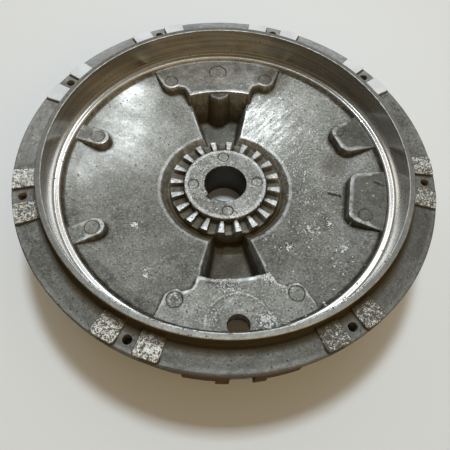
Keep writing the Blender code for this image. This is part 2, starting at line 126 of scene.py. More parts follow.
# casting cracks: start and end as (radius, turn), depth
CRACKS = (
    ((54.5, -100.0), (60.5, -101.6), 0.35),
    ((77.0, -96.2), (81.5, -97.6), 0.4),
)


# ---- small maths
def turn_xy(radius, turn):
    """A point in plan: turn in degrees from +Y, positive towards -X."""
    a = np.radians(turn)
    return -radius * np.sin(a), radius * np.cos(a)


def distance(x, y, at):
    """Distance in plan to a point given as (radius, turn)."""
    px, py = turn_xy(*at)
    return np.hypot(x - px, y - py)


def wrap(turn, period=360.0):
    """The same turn within half a period of 0."""
    return (turn + period / 2) % period - period / 2


def smooth_min(a, b, k):
    """The smaller of two heights, with a fillet where they are less than k apart."""
    h = np.clip(0.5 + 0.5 * (b - a) / k, 0, 1)
    return b + (a - b) * h - k * h * (1 - h)


def smooth_max(a, b, k):
    """The larger of two heights, with the same fillet."""
    return -smooth_min(-a, -b, k)


def ramp(x, low, high):
    """0 below low, 1 above high, smooth between; also for low above high."""
    t = np.clip((x - low) / (high - low), 0, 1)
    return t * t * (3 - 2 * t)


def bell(x, middle, width):
    """1 at the middle, fading to 0 on both sides of it."""
    return np.exp(-(((x - middle) / width) ** 2))


def shoulder(d, edge, slope):
    """Fall below a raised outline's top, at distance d outside its outline (negative inside)."""
    t = np.clip(d + edge, 0, edge)
    return edge - np.sqrt(edge**2 - t**2) + np.clip(d, 0, None) * slope


def lattice_noise(x, y, size, seed):
    """Smooth value noise, about -1 to 1, with cells of the given size."""
    rng = np.random.default_rng(seed)
    table = rng.uniform(-1, 1, (257, 257))
    u, v = x / size + 1000, y / size + 1000
    i, j = np.floor(u).astype(int), np.floor(v).astype(int)
    s, t = u - i, v - j
    s, t = s * s * (3 - 2 * s), t * t * (3 - 2 * t)
    i, j = i % 256, j % 256
    low = table[i, j] * (1 - s) + table[i + 1, j] * s
    high = table[i, j + 1] * (1 - s) + table[i + 1, j + 1] * s
    return low * (1 - t) + high * t


def layered_noise(x, y, size, seed, layers=3):
    """Lattice noise with finer and weaker layers added."""
    return sum(lattice_noise(x, y, size / 2**n, seed + n) / 1.7**n for n in range(layers)) / 1.6


def outline_distance(x, y, outline):
    """Signed distance to a closed outline, negative inside, worked out only near it."""
    points = np.array(outline, float)
    far = 12.0
    low, high = points.min(0) - far, points.max(0) + far
    near = (x > low[0]) & (x < high[0]) & (y > low[1]) & (y < high[1])
    result = np.full(x.shape, far)
    px, py = x[near], y[near]
    best = np.full(px.shape, far**2)
    inside = np.zeros(px.shape, bool)
    for (ax, ay), (bx, by) in zip(points, np.roll(points, -1, 0)):
        ex, ey = bx - ax, by - ay
        t = np.clip(((px - ax) * ex + (py - ay) * ey) / (ex * ex + ey * ey + 1e-12), 0, 1)
        best = np.minimum(best, (px - ax - t * ex) ** 2 + (py - ay - t * ey) ** 2)
        if ay != by:
            crosses = ((ay > py) != (by > py)) & (px < (bx - ax) * (py - ay) / (by - ay) + ax)
            inside ^= crosses
    result[near] = np.where(inside, -1, 1) * np.sqrt(best)
    return result


def round_corners(corners, steps=8):
    """Outline through (radius, height or x, y, fillet radius) corners, with each corner rounded."""
    made = []
    count = len(corners)
    for i, (cx, cy, fillet) in enumerate(corners):
        here = np.array((cx, cy), float)
        before = np.array(corners[i - 1][:2], float) - here
        after = np.array(corners[(i + 1) % count][:2], float) - here
        la, lb = np.linalg.norm(before), np.linalg.norm(after)
        before, after = before / la, after / lb
        half = math.acos(max(-1, min(1, float(before @ after)))) / 2
        if fillet <= 0 or half > 1.55:
            made.append(tuple(here))
            continue
        reach = min(fillet / math.tan(half), la * 0.48, lb * 0.48)
        radius = reach * math.tan(half)
        middle = (before + after) / np.linalg.norm(before + after) * (radius / math.sin(half))
        a, b = before * reach - middle, after * reach - middle
        sweep = math.acos(max(-1, min(1, float(a @ b) / radius**2)))
        for n in range(steps + 1):
            t = n / steps
            p = (math.sin((1 - t) * sweep) * a + math.sin(t * sweep) * b) / math.sin(sweep)
            made.append(tuple(here + middle + p))
    return made


# ---- outlines of the raised and sunk features
def arc(radius, start, end, steps):
    """Points along a circle round the axis."""
    return [turn_xy(radius, start + (end - start) * i / steps) for i in range(steps + 1)]


def plateau_outline(turn):
    """A trough's plateau: front edge, a step, two round ears, and its sides running to the ledge."""
    def side(hand):
        cx, cy = turn_xy(EAR_CIRCLE, turn + hand * EAR_TURN)
        points = [turn_xy(UNDER_LEDGE, turn + hand * PLATEAU_HALF_TURN)]
        for n in range(15):
            ox, oy = turn_xy(EAR_RADIUS, turn + hand * (112.0 + 110.0 * n / 14))
            points.append((cx + ox, cy + oy))
        return points + [turn_xy(64.2, turn + hand * 18.2), turn_xy(61.2, turn + hand * 17.5)]

    front_radius, front_turn = PLATEAU_FRONT
    front = arc(front_radius, turn + front_turn, turn - front_turn, 20)
    back = arc(UNDER_LEDGE, turn - PLATEAU_HALF_TURN, turn + PLATEAU_HALF_TURN, 20)
    return side(1) + front + side(-1)[::-1] + back[1:-1]


def tab_outline(turn):
    """A tab that reaches inwards from the ledge and has a round end."""
    cx, cy = turn_xy(TAB_CIRCLE, turn)
    sx, sy = turn_xy(TAB_RADIUS, turn + 90)
    rx, ry = turn_xy(UNDER_LEDGE, turn)
    end = []
    for n in range(19):
        ox, oy = turn_xy(TAB_RADIUS, turn + 90 + 180.0 * n / 18)
        end.append((cx + ox, cy + oy))
    return [(rx + sx, ry + sy)] + end + [(rx - sx, ry - sy)]


def boss_outline(start, end):
    """A wide boss between two turns, from the ledge inwards, with its inner corners rounded."""
    corners = []
    steps = 6
    for n in range(steps + 1):
        corners.append((*turn_xy(UNDER_LEDGE, start + (end - start) * n / steps), 0.0))
    corners.append((*turn_xy(BOSS_INNER_RADIUS, end - 0.4), BOSS_CORNER))
    corners.append((*turn_xy(BOSS_INNER_RADIUS, start + 0.4), BOSS_CORNER))
    return round_corners(corners)


def pad_outline(middle):
    """A pad of the flange, its middle at the given turn."""
    low, high = middle - PAD_HALF_TURN, middle + PAD_HALF_TURN
    corners = [(*turn_xy(PAD_OUTER_RADIUS, high), PAD_CORNER)]
    corners += [(*p, 0.0) for p in arc(PAD_OUTER_RADIUS, high, low, 4)[1:-1]]
    corners.append((*turn_xy(PAD_OUTER_RADIUS, low), PAD_CORNER))
    corners += [(*turn_xy(PAD_INNER_RADIUS, turn), 0.0) for turn in (low, high)]
    return round_corners(corners, 5)


def crack_distance(x, y, start, end):
    """Distance to a wandering line between two (radius, turn) points."""
    ax, ay = turn_xy(*start)
    ex, ey = turn_xy(*end)
    ex, ey = ex - ax, ey - ay
    t = np.clip(((x - ax) * ex + (y - ay) * ey) / (ex * ex + ey * ey), 0, 1)
    return np.hypot(x - ax - t * ex, y - ay - t * ey) + 0.5 * lattice_noise(x, y, 1.6, 61)


# ---- section of the turned shape
# corners as radius, height and fillet radius
TOP_SECTION = [
    (BORE_RADIUS, HUB_TOP, 0.45),
    (HUB_RADIUS, HUB_TOP, 0.45),
    (22.3, TOOTH_VALLEY, 0.5),
    (TEETH_RADIUS, TOOTH_VALLEY, 0.3),
    (29.9, GROOVE_FLOOR, 0.6),
    (30.7, GROOVE_FLOOR, 1.0),
    (34.3, 19.1, 1.2),
    (50.0, 22.4, 8.0),
    (67.0, 25.8, 8.0),
    (76.0, 27.9, 8.0),
    (81.4, 29.7, 2.2),
    (83.3, LEDGE_TOP, 0.9),
    (85.9, LEDGE_TOP, 1.0),
    (LIP_RADIUS, LIP_TOP, 0.4),
    (89.8, LIP_TOP, 0.45),
    (90.1, FLANGE_TOP, 1.6),
    (FLANGE_RADIUS, FLANGE_TOP, 0.5),
]
SIDE_SECTION = [(FLANGE_RADIUS, FLANGE_BOTTOM, 0.5), (100.0, FLANGE_BOTTOM, 0.4), (98.5, SKIRT_BOTTOM, 0.8)]
UNDER_SECTION = [
    (SKIRT_INNER_RADIUS, SKIRT_BOTTOM, 0.8),
    (86.2, 23.0, 3.0),
    (83.0, 25.0, 2.0),
    (76.0, 22.3, 6.0),
    (67.0, 19.8, 8.0),
    (50.0, 16.4, 8.0),
    (33.4, 12.8, 3.0),
    (30.0, 9.2, 3.0),
    (21.5, 9.2, 1.5),
    (20.0, 0.0, 0.5),
    (BORE_RADIUS, 0.0, 0.4),
]
# length of the mesh's cells along the section, inside each radius and beyond the last
CELL_LIMITS = (21.5, 34.0, 54.0, 83.5, 87.5, 92.0)
CELL_LENGTHS = (0.30, 0.26, 0.6, 0.40, 0.30, 0.25)
CELL_BEYOND = 0.36
CELL_ON_WALLS = 0.9
CELL_UNDER = 1.0
CELL_AT_BENDS = 0.14
SECTION_STEP = 0.05


def section_rows():
    """Rows of the mesh around the section: radius, height, and 1 for the top face, -1 for the underside."""
    corners = TOP_SECTION + SIDE_SECTION + UNDER_SECTION
    path = np.array(round_corners(corners))
    path = np.vstack([path, path[:1]])
    length = np.concatenate([[0], np.cumsum(np.linalg.norm(np.diff(path, axis=0), axis=1))])
    side_start = length[np.argmax((path[:, 0] > FLANGE_RADIUS - 1) & (path[:, 1] < FLANGE_TOP - 1))]
    under_start = length[np.argmax((length > side_start) & (path[:, 1] < SKIRT_BOTTOM + 0.5))]
    dense = np.arange(0, length[-1], SECTION_STEP)
    r, z = np.interp(dense, length, path[:, 0]), np.interp(dense, length, path[:, 1])
    step = np.select([r < limit for limit in CELL_LIMITS], CELL_LENGTHS, CELL_BEYOND)
    bend = np.abs(np.gradient(np.unwrap(np.arctan2(np.gradient(z), np.gradient(r)))))
    bend = np.convolve(bend, np.ones(9), "same")
    wall = np.abs(np.gradient(z)) > 0.8 * SECTION_STEP
    step = np.where(wall, CELL_ON_WALLS, step)
    step = np.where(dense > under_start, CELL_UNDER, step)
    step = np.where(bend > 0.12, np.minimum(step, CELL_AT_BENDS), step)
    cells = np.concatenate([[0], np.cumsum(SECTION_STEP / step)])[:-1]
    count = int(cells[-1])
    at = np.interp(np.arange(count) * cells[-1] / count, cells, dense)
    face = np.where(at < side_start, 1, np.where(at > under_start, -1, 0))
    return np.interp(at, length, path[:, 0]), np.interp(at, length, path[:, 1]), face


# ---- heights of the upper and lower faces
def raised(z, where, d, top, slope, fillet, edge=0.7):
    """Raises a flat-topped feature with a rounded edge, sloping sides and a fillet at its foot."""
    return np.where(where, smooth_max(z, top - shoulder(d, edge, slope), fillet), z)


def teeth_height(r, f, z):
    """Height of the ratchet teeth: worn crests, a long ramp on one side and a steep face on the other."""
    x, y = r * np.cos(np.radians(f)), r * np.sin(np.radians(f))
    local = wrap(f - TEETH_PHASE, 360.0 / TEETH)
    half = TOOTH_HALF_TURN * (0.62 + 0.38 * (r - HUB_RADIUS) / 7.4)
    rise = np.minimum(ramp(local, -half - 4.4, -half + 0.2), ramp(local, half + 0.9, half - 0.1))
    crest = TOOTH_CREST - 0.06 * (1 - ramp(np.abs(local), half - 0.3, half - 1.4))
    ring = ramp(r, 29.45, 29.15) * (r > 21.2)
    worn = 0.07 * lattice_noise(x, y, 1.3, 5)
    tooth = z + (crest + worn - TOOTH_VALLEY) * rise * ring
    return np.where(ring > 0, np.maximum(z, tooth), z)


def trough_height(r, f, turn):
    """Upper surface of one trough: its floor, sloping sides and end walls."""
    away = np.abs(wrap(f - turn))
    side = TROUGH_FLOOR + TROUGH_SIDE_SLOPE * (np.radians(away - TROUGH_HALF_TURN) * r)
    outer = TROUGH_FLOOR + (r - 54.4) * 7.6
    inner = TROUGH_FLOOR + (29.6 - r) * 9.0
    pit = smooth_max(side, outer, 1.2)
    pit = smooth_max(pit, inner, 1.0)
    return np.where(away < 60, smooth_max(pit, np.full_like(r, TROUGH_FLOOR), 2.0), 90.0)


def web_features(r, f, z, x, y):
    """Adds the cast skin's swell and the bosses, tabs and plateaus that stand on the web."""
    turned = z.copy()
    hub = (r > 21.9) & (r < 29.6) & (z < 19.0)
    z = np.where(hub, teeth_height(r, f, z), z)
    web = (r > 33.0) & (r < 84.9)
    swell = 0.05 * layered_noise(x, y, 14.0, 11) + 0.018 * lattice_noise(x, y, 1.6, 21)
    z = z + np.where((r > 31.0) & (r < 82.4), swell, 0.0)
    for start, end in BOSS_SPANS:
        d = outline_distance(x, y, boss_outline(start, end)) + 0.12 * lattice_noise(x, y, 3.0, 31)
        z = raised(z, web, d, BOSS_TOP, 10.0, 0.6)
    for turn in TAB_TURNS:
        z = raised(z, web, outline_distance(x, y, tab_outline(turn)), BOSS_TOP, 10.0, 0.6)
    for turn in PLATEAU_TURNS:
        d = outline_distance(x, y, plateau_outline(turn))
        if turn > 90:
            d = d + ramp(d, -5.0, 0.0) * (0.30 * layered_noise(x, y, 2.6, 41, 4) + 0.15)
        z = raised(z, web, d, PLATEAU_TOP, 5.0, 0.7)
    # the ledge and all that lies outside it stay as turned
    return np.where(r > 82.9, turned, z)


def front_plateau(r, f, z, x, y):
    """Adds the front plateau's arch around the balance hole, and its eaten inner edge."""
    near_hole = distance(x, y, BALANCE_HOLE)
    front = (np.abs(wrap(f - 180)) < 25) & (r > 58) & (r < 82.6)
    z = z + np.where(front, 0.30 * bell(near_hole, 14.6, 0.9), 0.0)
    z = z - np.where(front, 0.10 * ramp(near_hole, 14.0, 11.0), 0.0)
    eaten = bell(wrap(f - 171.0), 0, 3.2) * ramp(r, 61.5, 58.5) * (np.abs(wrap(f - 180)) < 19)
    return z - np.where(r > 55, eaten * (0.9 + 0.35 * layered_noise(x, y, 1.8, 51)), 0.0) * (z > 26)


def flange_pads(r, z, x, y):
    """Adds the flange's pads, pitted where they are corroded, and the flange's rough skin."""
    for n, (middle, share) in enumerate(PAD_WHITES):
        d = outline_distance(x, y, pad_outline(middle))
        pits = 0.02 if share > 0.95 else 0.16
        dents = np.clip(layered_noise(x, y, 1.5, 71 + n, 3) - 0.12, 0, 1) * pits
        top = PAD_TOP - shoulder(d, 0.3, 7.0) - dents
        z = np.where((r > 89.9) & (r < 101.9) & (z < 47), smooth_max(z, top, 0.25), z)
    rough = 0.05 * layered_noise(x, y, 1.8, 91, 3) * ramp(r, 91.0, 92.5) * (r < 101.2)
    return z + np.where(z < 42.6, rough, 0.0)


def upper_face(r, f, z):
    """Height of the upper face at radius r and turn f; z is the turned shape's own height."""
    x, y = turn_xy(r, f)
    z = front_plateau(r, f, web_features(r, f, z, x, y), x, y)
    for turn in PLATEAU_TURNS:
        blend = np.interp(r, [30.0, 36.0, 50.0, 55.5], [0.8, 4.2, 4.2, 0.8])
        z = np.where((r > 29.0) & (r < 60.0), smooth_min(z, trough_height(r, f, turn), blend), z)
    post = distance(x, y, POST_AT) - POST_RADIUS
    z = raised(z, post < 4, post, POST_TOP, 9.0, 0.5, 0.5)
    for circle, turn, radius, depth in EJECTOR_MARKS:
        d = distance(x, y, (circle, turn)) - radius
        z = z - depth * 1.6 * ramp(d, 0.2, -0.2) + 0.08 * bell(d, 0.35, 0.28)
    for start, end, depth in CRACKS:
        z = z - depth * ramp(np.abs(crack_distance(x, y, start, end)), 0.75, 0.1)
    return flange_pads(r, z, x, y)


def lower_face(r, f, z):
    """Height of the underside: ribs, trough shells and the magnet's housing hang below the web."""
    shell_floor = TROUGH_FLOOR - TROUGH_SHELL
    for turn in PLATEAU_TURNS:
        away = np.abs(wrap(f - turn))
        sideways = np.radians(away - TROUGH_HALF_TURN) * r - 4.2
        shell = smooth_max(shell_floor + TROUGH_SIDE_SLOPE * sideways, shell_floor + (r - 58.6) * 6.0, 1.5)
        shell = smooth_max(shell, np.full_like(r, shell_floor), 1.5)
        z = np.where((away < 60) & (r > 21.0), smooth_min(z, shell, 2.0), z)
    for turn in RIB_TURNS:
        across = np.abs(np.radians(wrap(f - turn)) * r)
        foot = 6.0 + 9.0 * (r - 19.4) / 69.8
        rib = foot + shoulder(across - 2.0, 0.6, 6.0)
        z = np.where((r > 20.8) & (across < 8), smooth_min(z, rib, 1.4), z)
    away = np.abs(wrap(f - MAGNET_TURN))
    d = np.maximum(np.radians(away - HOUSING_HALF_TURN) * r, HOUSING_INNER_RADIUS - r)
    housing = HOUSING_BOTTOM + shoulder(d, 1.0, 5.0)
    return np.where(r > 78.0, smooth_min(z, housing, 1.5), z)


# ---- where the surface is worn, stained or white, and where light and shade are painted on it
def spot(x, y, at, size):
    """1 at a spot given as (radius, turn), fading to 0 over its size."""
    cx, cy = turn_xy(*at)
    return np.exp(-((x - cx) ** 2 + (y - cy) ** 2) / size**2)


def resample_blur(values, positions, width, passes=2):
    """Blurs rows of a grid over a width measured in the same unit as positions."""
    out = values
    for _ in range(passes):
        total = np.vstack([np.zeros_like(out[:1]), np.cumsum(out, 0)])
        low = np.searchsorted(positions, positions - width)
        high = np.searchsorted(positions, positions + width)
        out = (total[high] - total[low]) / (high - low)[:, None]
    return out


def hollows(z, row_r, turns):
    """How far each point of the upper face lies below the mean height around it, in mm."""
    across = resample_blur(z, row_r, 1.6)
    mean = np.empty_like(across)
    wide = np.concatenate([turns - 360, turns, turns + 360])
    triple = np.concatenate([across, across, across], 1).T
    for low, high in ((0, 32), (32, 52), (52, 76), (76, 103)):
        rows = (row_r >= low) & (row_r < high)
        if rows.any():
            reach = math.degrees(1.6 / max(24.0, 0.5 * (low + high)))
            blurred = resample_blur(triple[:, rows], wide, reach)
            mean[rows] = blurred[len(turns) : 2 * len(turns)].T
    return mean - z


MASKS = ("machined", "grime", "worn", "white", "brown", "polish", "speckle", "dark", "pad", "film", "skin")
# soft spots on the web and the plateaus: (radius, turn) of the middle, size in mm, strength
WHITE_SPOTS = (
    ((69, -127.5), 2.6, 1), ((51, -127), 4.0, 1), ((76.5, -136.5), 2.2, 1), ((58, -119), 3.0, 1),
    ((60.8, -108.5), 1.8, 1), ((48, -143), 3.0, 1), ((80.4, -170), 3.4, 1), ((60, -165), 3.0, 1),
    ((52, 117), 3.0, 1), ((65, 142), 4.0, 1), ((37, -150), 3.0, 1), ((66, -160), 2.5, 1),
)
PLATEAU_SPOTS = (((78, -171), 6, 0.22), ((62, 176), 7, 0.2), ((71.5, 157.5), 4.5, 0.16), ((77, 170), 6, 0.14))
CRYSTAL_SPOTS = (((58, -128), 20, 1.0), ((76, -150), 16, 0.5))
STAIN_SPOTS = (((60, -82), 7, 0.3), ((63, -108), 6, 0.30), ((79, 62), 6, 0.22))
# polished patches of the web, brightened as painted sheen
POLISH_AND_SHEEN_SPOTS = (
    ((66, 48), 19, 0.62), ((78, 40), 11, 0.8), ((56, 66), 16, 0.9), ((76, 66), 13, 0.9), ((76, 86), 12, 0.8),
)
SPECKLE_SPOTS = (((45, -35), 22, 1.0), ((40, -85), 18, 0.6), ((62, -20), 16, 0.3))
# turn at which the left of the flange gets a painted sheen
LEFT_FLANGE_SHEEN_TURN = 76


def surface_regions(r, f, z, row_r, face, turns):
    """The regions and noises of the surface that its masks are made from."""
    x, y = turn_xy(r, f)
    s = SimpleNamespace(r=r, f=f, z=z, x=x, y=y)
    top = face == 1
    s.upper = upper = np.repeat(top[:, None], z.shape[1], 1)
    s.wavy = layered_noise(x, y, 9.0, 101, 4)
    s.fine = layered_noise(x, y, 2.2, 111, 3)
    s.streaks = layered_noise((0.75 * x + 0.66 * y) / 7.0, (0.66 * x - 0.75 * y) / 1.1, 1.0, 131, 2)
    s.front = ramp(np.abs(wrap(f)), 95.0, 150.0)

    s.bore = (r < 11.5) & (z < 21.5)
    s.hub = upper & (r < 21.9) & (r > 11.2)
    s.crest = upper & (r > 21.9) & (r < TEETH_RADIUS) & (z > 19.8)
    s.gap = upper & (r > 21.9) & (r < 29.6) & (z < 19.8)
    s.groove = upper * ramp(r, 28.8, 29.8) * ramp(r, 35.5, 32.0)
    s.trough = upper & (z < 17.0) & (r > 29.5) & (r < 58)
    s.end_wall = upper & (r > 52) & (r < 66) & (z > 12) & (z < 30) & (np.abs(wrap(f)) < 18)
    s.foot = upper & (r > 50) & (r < 58) & (z < 12.1) & (np.abs(wrap(f)) < 13)
    near_post = distance(x, y, POST_AT) < 6.0 + (POST_TOP - z) / 9.0
    s.post = upper & near_post & (z < 28.6) & (z > 9.8) & (r < 60)
    s.plateau = (np.abs(wrap(f - 180)) < 25) & (r > 56) & (r < 83) & (z > 29.0) & upper
    s.web = upper & (r > 33.0) & (r < 83.0)
    s.bosses = s.web & (z > 29.2) & (wrap(f) < -60) & (wrap(f) > -119)
    s.wall = upper & (r > 83.0) & (r < 87.3) & (z > 31.9)
    s.ledge = upper & (r > 82.8) & (r < 86.3) & (z < 34.5)
    s.lip = upper & (z > 44.5) & (r >= LIP_RADIUS)
    s.flange = upper & (r > 90.0) & (z < 42.8)

    hollow = np.zeros_like(z)
    hollow[top] = hollows(z[top], np.maximum.accumulate(row_r[top]), turns)
    s.depth = np.where(upper & ~s.wall & ((r < 82.0) | (r > 90.2)), hollow, 0)
    return s


def spots(s, table, start=0.0):
    """The start value with the soft spots of a table added to it."""
    total = start
    for at, size, strength in table:
        total = total + strength * spot(s.x, s.y, at, size)
    return total


def near_turn(s, middle, far, near):
    """1 within the near angle of a turn, 0 beyond the far one."""
    return ramp(np.abs(wrap(s.f - middle)), far, near)


def corroded_pads(s):
    """The share of each flange pad that is white, and the painted shade on the sides that face the front."""
    pad = np.zeros_like(s.z)
    sides = []
    for middle, share in PAD_WHITES:
        outline = pad_outline(middle)
        cx, cy = np.mean(outline, 0)
        d = outline_distance(s.x, s.y, outline)
        pad = np.where(s.upper & (d < 0.05) & (s.r > 90.8), share, pad)
        # painted shade on the pad sides that face the front, away from the light behind
        facing = (cy - s.y) / (np.hypot(s.x - cx, s.y - cy) + 0.01)
        sides.append(1.5 * s.upper * bell(d, 0.32, 0.3) * ramp(facing, 0.15, 0.6) * (s.r > 90.5))
    return pad, sides


def shade_and_grime_mask(s, pad_sides):
    """Painted shade in the hollows, round the ejector marks and beside the pads, with dirt in the cracks."""
    ringed = ramp(s.r, 28.8, 29.8) * ramp(s.r, 35.5, 33.0)
    # painted shade: darker where the face lies below the mean height around it
    grime = ramp(s.depth, 0.2, 1.7) * (0.5 + 0.3 * s.wavy) * (1 - ringed)
    grime = np.where(s.end_wall, 0.25 * grime, grime)
    # painted shade round the rims of the ejector marks
    for circle, turn, radius, _ in EJECTOR_MARKS:
        grime += 0.6 * s.upper * bell(distance(s.x, s.y, (circle, turn)), radius, 0.28)
    for start, end, _ in CRACKS:
        grime += 1.2 * s.upper * bell(crack_distance(s.x, s.y, start, end), 0, 0.4)
    # painted shade on the pads' sides that face the front
    for side in pad_sides:
        grime += side
    return grime


def wear_and_highlight_mask(s):
    """Bare metal on the raised edges, the rims of the lip and the teeth, with a painted highlight along the
    lip's rims and the web's inner edge.
    """
    worn = ramp(-s.depth, 0.10, 0.7) * (0.7 + 0.5 * s.fine) * np.where(s.r > 90.0, 0.2, 1.0)
    rims = bell(s.r, 87.15, 0.3) + 0.8 * bell(s.r, 89.6, 0.22)
    # worn rims of the lip, with a painted highlight line along them
    worn += 1.2 * s.upper * rims * (s.z > 47.3) * (0.6 + 0.7 * s.fine + 0.5 * s.front)
    # painted highlight along the web's inner edge
    worn += s.upper * bell(s.r, 34.4, 0.3) * (0.05 + 0.9 * s.fine)
    return worn + np.where(s.crest, 0.12, 0.0)


def white_mask(s):
    """White corrosion on the hub, the front plateau, the front of the lip and the web."""
    white = np.where(s.hub, 0.17 + 0.12 * s.wavy + 0.20 * s.fine, 0.0)
    white += np.where(s.plateau, spots(s, PLATEAU_SPOTS, 0.09 + 0.16 * s.wavy), 0)
    lip_edge = s.lip & (s.r < 87.9)
    white += np.where(lip_edge, (0.15 + 0.5 * layered_noise(s.x, s.y, 5.0, 151)) * s.front, 0)
    white += s.web * np.clip(0.50 * spots(s, WHITE_SPOTS) * (0.7 + 1.1 * s.fine), 0, 0.6)
    crystals = np.clip(layered_noise(s.x, s.y, 1.5, 141, 3) - 0.38, 0, 1) * 2.2
    white += s.web * crystals * spots(s, CRYSTAL_SPOTS, 0.15)
    white += s.web * 0.12 * spot(s.x, s.y, (48, -38), 26) * (0.8 + 0.8 * s.fine)
    white += s.web * 0.08 * near_turn(s, -75, 80, 30) * (0.8 + 0.8 * s.wavy)
    return white


def brown_stain_and_shade_mask(s, grime):
    """Brown stain at the lip's base, round the teeth and in patches on the web; brown stain and painted shade
    between the teeth and in the troughs, and brown over the painted shade of the hollows.
    """
    base_edge = ramp(s.r, 96.0 - 3.0 * (1 - s.front), 91.2)
    lip_base = s.upper * (s.r > 89.4) * base_edge * (s.z < 47.4)
    brown = lip_base * (0.15 + 1.0 * s.front) * (1.05 + 0.4 * s.wavy)
    right = ramp(wrap(s.f + 110), 80, 10)
    brown += s.groove * (0.03 + 0.16 * s.wavy + 0.24 * s.front + 0.12 * right)
    # brown stain and painted shade on the floors between the teeth
    brown += np.where(s.gap, 0.42 + 0.2 * s.wavy, 0.0)
    # brown painted shade that follows the painted shade of the hollows
    brown += grime * 0.4
    # brown stain and painted shade in the troughs
    brown += np.where(s.trough, 0.22 + 0.3 * s.wavy + 0.3 * s.front, 0)
    brown += np.where(s.trough & (s.r < 36), 0.35 * s.front, 0)
    ledge_edge = ramp(s.r, 83.0, 83.6) * (s.r < 86.4) * (s.z < 35)
    brown += s.upper * ledge_edge * near_turn(s, 0, 85, 45) * 0.3
    brown += s.web * 0.30 * spot(s.x, s.y, (74, -24), 9) * (1 + s.wavy)
    return brown + s.web * spots(s, STAIN_SPOTS)


def film_mask(s):
    """Dull film in the groove, between the teeth and on the rear trough's end wall."""
    film = 0.7 * s.groove * (s.z < 19.4) + np.where(s.gap, 0.5, 0.0)
    end = (s.end_wall | s.foot) & ~s.post & (s.z < 20.5)
    return film + np.where(end, 0.40 + 0.3 * s.wavy, 0.0)


def polish_and_sheen_mask(s, painted_ledge_highlight):
    """Smoother metal, made brighter as painted sheen: patches of the web, the hub, the plateaus and the
    flange, a painted highlight on the ledge and a painted reflection on the wall.
    """
    f = wrap(s.f)
    # painted sheen on the web's polished patches
    polish = s.web * np.clip(spots(s, POLISH_AND_SHEEN_SPOTS), 0, 1)
    polish = polish * (0.85 + 0.35 * s.wavy) * (1 - 0.7 * (s.z > 29.6))
    # painted highlight: a broad bright patch on the web's right
    polish += s.web * 0.95 * spot(s.x, s.y, (46, -32), 21) * (0.8 + 0.6 * s.streaks)
    polish += 0.15 * s.crest
    polish += s.hub * (0.4 + 0.4 * s.fine) * ramp(f, 150, 60)
    rear_and_left = near_turn(s, 0, 78, 40) + 0.7 * near_turn(s, LEFT_FLANGE_SHEEN_TURN, 16, 4)
    # painted sheen on the rear and left of the flange
    polish += s.flange * rear_and_left * (0.8 + 0.5 * s.wavy)
    arch = bell(distance(s.x, s.y, BALANCE_HOLE), 14.4, 2.2)
    polish += s.plateau * (0.02 + 0.35 * arch + 0.3 * s.fine)
    polish += s.web * (s.z > 29.6) * (np.abs(f) < 28) * 0.35 + 0.25 * s.groove
    polish += s.web * (s.z > 29.6) * (f > 60) * (f < 80) * 0.45
    # painted highlight on the ledge
    polish += s.ledge * (0.25 + 0.9 * painted_ledge_highlight * np.where(f < 0, 0.75, 1.0))
    # painted reflection on the wall's left and right
    polish += s.wall * ~s.ledge * 0.55 * ramp(np.abs(np.abs(f) - 97), 34, 14)
    return polish


def dark_and_shade_mask(s):
    """Darker metal on the right bosses, on the lip and in a patch on the flange's right, and painted shade in
    the bore and on the front of the flange.
    """
    dark = np.where(s.bosses, 0.6, 0.0)
    # painted shade down the bore
    dark += 1.5 * s.bore
    dark += np.where(s.lip, 0.75, 0)
    # painted shade on the front of the flange, and a darker patch on its right
    return dark + s.flange * (0.86 * s.front + 0.50 * near_turn(s, -116, 15, 6))


def surface_masks(r, f, z, row_r, face, turns):
    """Masks over the casting that the material reads, by name."""
    s = surface_regions(r, f, z, row_r, face, turns)
    pad, pad_sides = corroded_pads(s)
    grime = shade_and_grime_mask(s, pad_sides)
    worn = wear_and_highlight_mask(s)
    white = white_mask(s) + worn * 0.10
    brown = brown_stain_and_shade_mask(s, grime)
    # painted shade on the upper part of the rear trough's end wall and over the whole post, less on the
    # trough's foot
    grime += np.where(s.end_wall & (s.z > 20.5), 0.5, 0.0)
    grime = np.where(s.foot, 0.3 * grime, grime) + np.where(s.post, 1.0, 0)
    # painted sheen on the rear and left of the flange
    worn += s.flange * (0.6 * near_turn(s, 0, 66, 36) + 0.15 * near_turn(s, LEFT_FLANGE_SHEEN_TURN, 18, 6))
    # the ledge gets a painted highlight on its left and right
    left, right = wrap(f), -wrap(f)
    painted_ledge_highlight = ramp(left, 50, 72) * ramp(left, 150, 132) + ramp(right, 48, 70) * ramp(right, 158, 146)
    machined = np.where(s.wall, 1.0, 0.0)
    machined = np.where(s.lip, 0.12, machined)
    # the machined ledge, with a painted highlight on its left and right
    machined = np.where(s.ledge, 0.4 + 0.6 * painted_ledge_highlight, machined)
    speckle = s.web * np.clip(spots(s, SPECKLE_SPOTS), 0, 1) * (0.75 + 0.8 * s.streaks)
    polish, dark, film, skin = polish_and_sheen_mask(s, painted_ledge_highlight), dark_and_shade_mask(s), film_mask(s), np.ones_like(r)
    values = (machined, grime, worn, white, brown, polish, speckle, dark, pad, film, skin)
    return dict(zip(MASKS, values))


# ---- the mesh
def column_turns():
    """Turns of the mesh columns, closer together at the edges of the lugs, troughs, tabs and bosses."""
    edges = [s * (lug + d) for lug in LUGS for s in (1, -1) for d in (-8.7, -2.4, 0.0, 2.4, 8.7)]
    edges += [t + d for t in PLATEAU_TURNS for d in (-26.0, -22.5, -18.0, -14.5, 14.5, 18.0, 22.5, 26.0)]
    edges += [t + d for t in TAB_TURNS for d in (-4.0, 4.0)]
    edges += [t for span in BOSS_SPANS for t in span]
    fine = np.arange(0, 360, 0.02)
    weight = np.ones_like(fine)
    for edge in edges:
        weight += bell(wrap(fine - edge), 0, 1.6)
    total = np.concatenate([[0], np.cumsum(weight)])
    return np.interp(np.arange(COLUMNS) * total[-1] / COLUMNS, total, np.arange(0, 360.01, 0.02))


